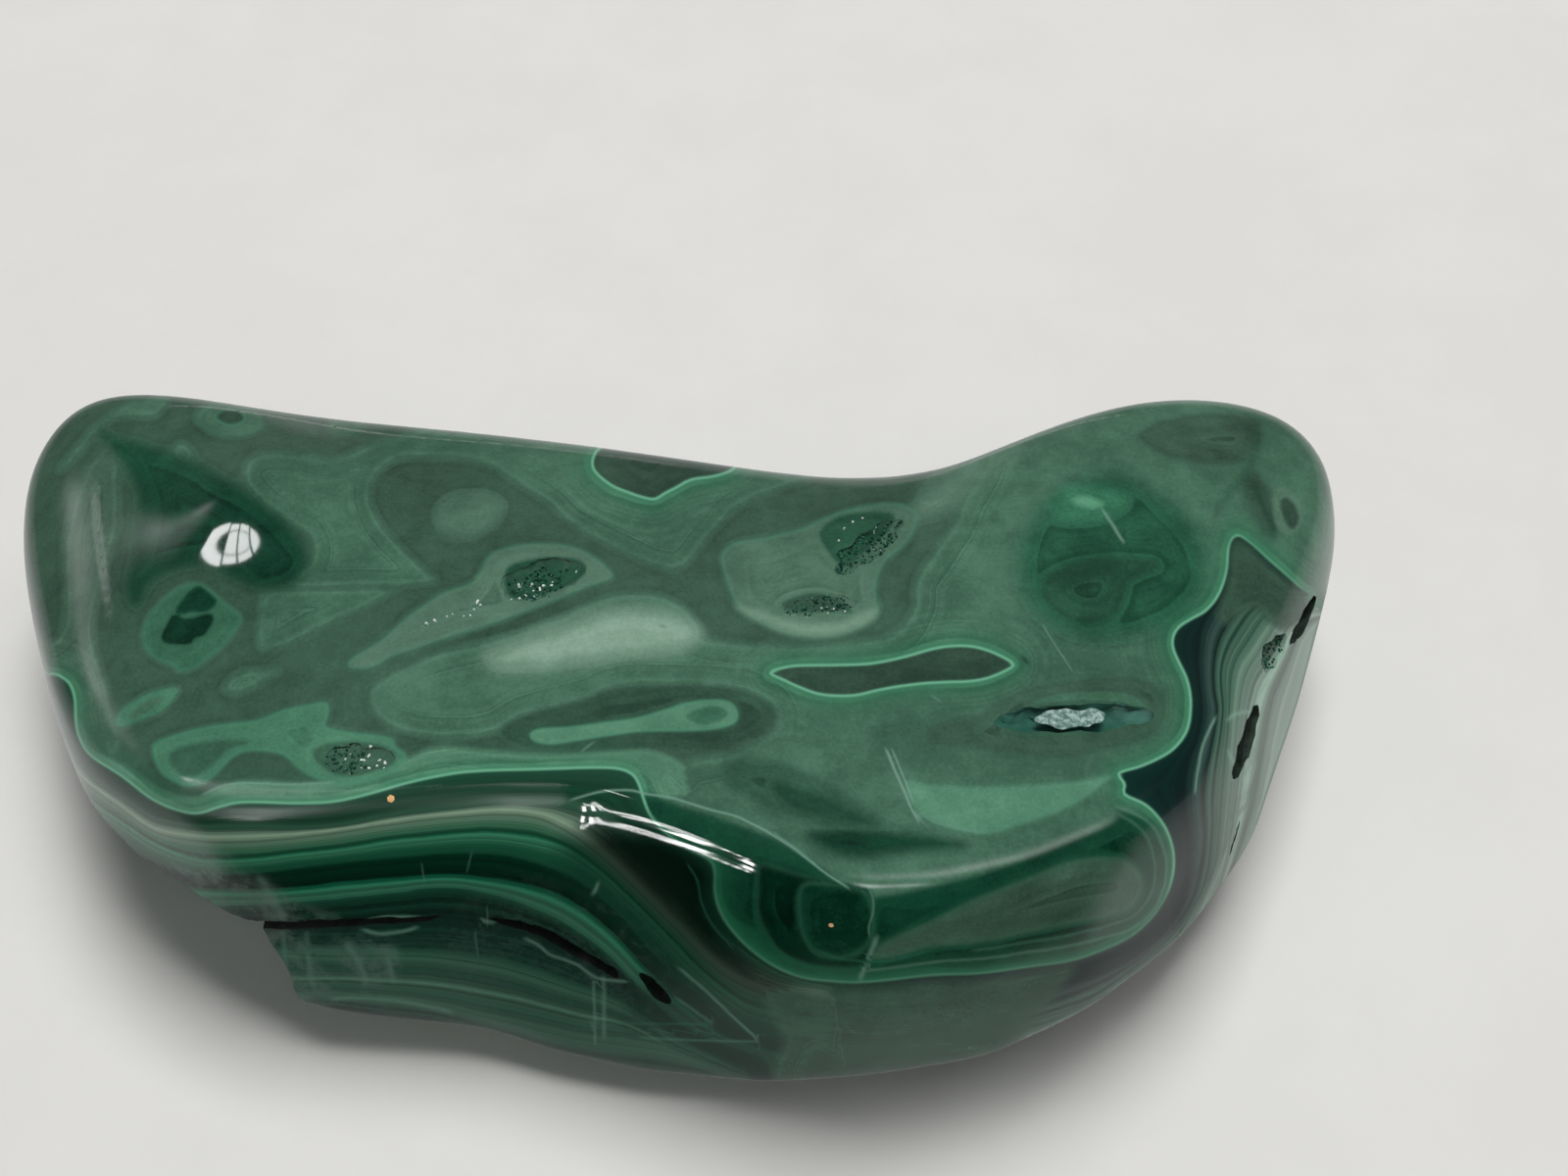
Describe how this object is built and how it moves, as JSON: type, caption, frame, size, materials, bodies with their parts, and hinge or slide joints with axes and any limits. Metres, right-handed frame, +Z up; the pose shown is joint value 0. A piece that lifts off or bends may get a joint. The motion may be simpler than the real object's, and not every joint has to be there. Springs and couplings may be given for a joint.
{
  "type": "polished malachite freeform",
  "caption": "Polished banded green stone, kidney-shaped in plan with a smooth rolled rim, a broken lower left end, an open front seam and small crystal hollows; lies on a small flat.",
  "frame": {"origin": "middle of the stone's box at the height of the flat that it lies on", "axes": "+X along the stone's length, +Y towards its hollow back edge, +Z up"},
  "size_m": [0.1287, 0.0672, 0.0352],
  "materials": {
    "malachite": "polished banded malachite, from mint through leaf green to near black, duller on the walls and broken faces",
    "white_crust": "rough pale crystalline crust"
  },
  "bodies": {
    "root": {"malachite_freeform": "malachite", "white_crust": "white_crust"}
  },
  "joints": []
}
